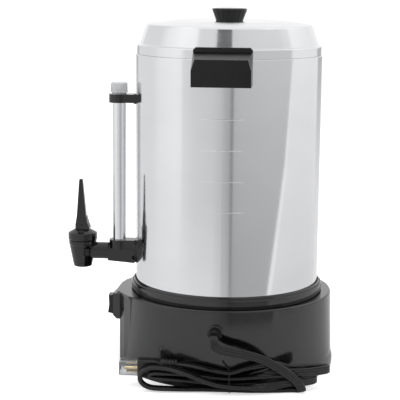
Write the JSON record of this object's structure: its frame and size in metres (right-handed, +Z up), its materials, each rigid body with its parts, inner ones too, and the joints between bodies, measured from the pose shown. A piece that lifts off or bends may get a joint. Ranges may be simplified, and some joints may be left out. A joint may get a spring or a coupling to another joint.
{
  "type": "coffee urn",
  "caption": "Tall polished percolating coffee urn on a black base, with lift-off lid, side handles, gauge glass, lever faucet, rocker switch, lamp and corded plug.",
  "frame": {"origin": "centre of the base's bottom rim, on the tank's axis", "axes": "+Z up along the tank's axis, -Y towards the faucet (front), +X towards the right-hand handle and the cord"},
  "size_m": [0.3557, 0.3836, 0.5061],
  "materials": {
    "polished_aluminium": "polished",
    "satin_aluminium": "satin",
    "black_moulding": "semi-gloss",
    "handle_black": "satin",
    "faucet_black": "semi-gloss",
    "steel": "satin",
    "plated_steel": "bright",
    "element_sheath": "dull",
    "cream_ceramic": "matte",
    "silicone": "matte",
    "seal_rubber": "matte",
    "gauge_glass": "clear",
    "lamp_amber": "clear",
    "cord_black": "satin",
    "brass": "bright",
    "clear_cover": "clear",
    "lead_red": "matte"
  },
  "bodies": {
    "root": {"tank": "polished_aluminium", "collar_ring": "black_moulding", "base_shell": "black_moulding", "bottom_plate": "steel", "bottom_screws": "steel", "tank_clips": "steel", "clip_nuts": "steel", "heating_element": "element_sheath", "element_clamps": "steel", "thermostat": "cream_ceramic", "thermal_fuse": "cream_ceramic", "terminal_block": "cream_ceramic", "lead_wires": "lead_red", "handle_right": "handle_black", "handle_left": "handle_black", "handle_screws": "steel", "gauge_bracket": "faucet_black", "bracket_screw": "steel", "gauge_shield": "polished_aluminium", "gauge_glass": "gauge_glass", "gauge_seals": "seal_rubber", "gauge_cap": "plated_steel", "spigot_block": "faucet_black", "spigot_gaskets": "seal_rubber", "spigot_nut": "steel", "faucet_body": "faucet_black", "faucet_bonnet": "faucet_black", "valve_spring": "steel", "switch_bezel": "black_moulding", "lamp_rim": "plated_steel", "lamp_lens": "lamp_amber", "cord_gland": "cord_black", "power_cord": "cord_black", "cord_hank": "cord_black", "cord_tie": "cord_black", "plug_body": "cord_black", "plug_blades": "brass", "plug_cover": "clear_cover"},
    "lid": {"lid": "polished_aluminium", "lid_knob": "handle_black", "knob_screw": "steel"},
    "cover": {"basket_cover": "satin_aluminium"},
    "basket": {"coffee_basket": "satin_aluminium"},
    "pump": {"pump_stem": "satin_aluminium"},
    "valve": {"valve_stem": "steel", "valve_cup": "silicone"},
    "lever": {"faucet_lever": "faucet_black", "lever_pin": "steel"},
    "rocker": {"switch_rocker": "black_moulding"}
  },
  "joints": [
    {"name": "lid_lift", "type": "slide", "parent": "root", "child": "lid", "axis": [0, 0, 1], "range_m": [0, 0.6]},
    {"name": "cover_lift", "type": "slide", "parent": "root", "child": "cover", "axis": [0, 0, 1], "range_m": [0, 0.511]},
    {"name": "basket_lift", "type": "slide", "parent": "root", "child": "basket", "axis": [0, 0, 1], "range_m": [0, 0.421]},
    {"name": "pump_lift", "type": "slide", "parent": "root", "child": "pump", "axis": [0, 0, 1], "range_m": [0, 0.361]},
    {"name": "valve_lift", "type": "slide", "parent": "root", "child": "valve", "axis": [0, 0, 1], "range_m": [0, 0.006], "deforming": ["valve_spring"]},
    {"name": "lever_tip", "type": "hinge", "parent": "valve", "child": "lever", "pos_m": [0, -0.209, 0.194], "axis": [1, 0, 0], "range_deg": [0, 35], "stiffness_Nm_per_rad": 0.5, "springref_deg": -11.46},
    {"name": "rocker_tip", "type": "hinge", "parent": "root", "child": "rocker", "pos_m": [0.031, -0.157, 0.0864], "axis": [1, 0, 0], "range_deg": [0, 9]}
  ],
  "couplings": [
    {"joint": "cover_lift", "follows": "lid_lift", "ratio": 0.85},
    {"joint": "basket_lift", "follows": "lid_lift", "ratio": 0.7},
    {"joint": "pump_lift", "follows": "lid_lift", "ratio": 0.6},
    {"joint": "valve_lift", "follows": "lever_tip", "m_per_rad": 0.0098}
  ]
}
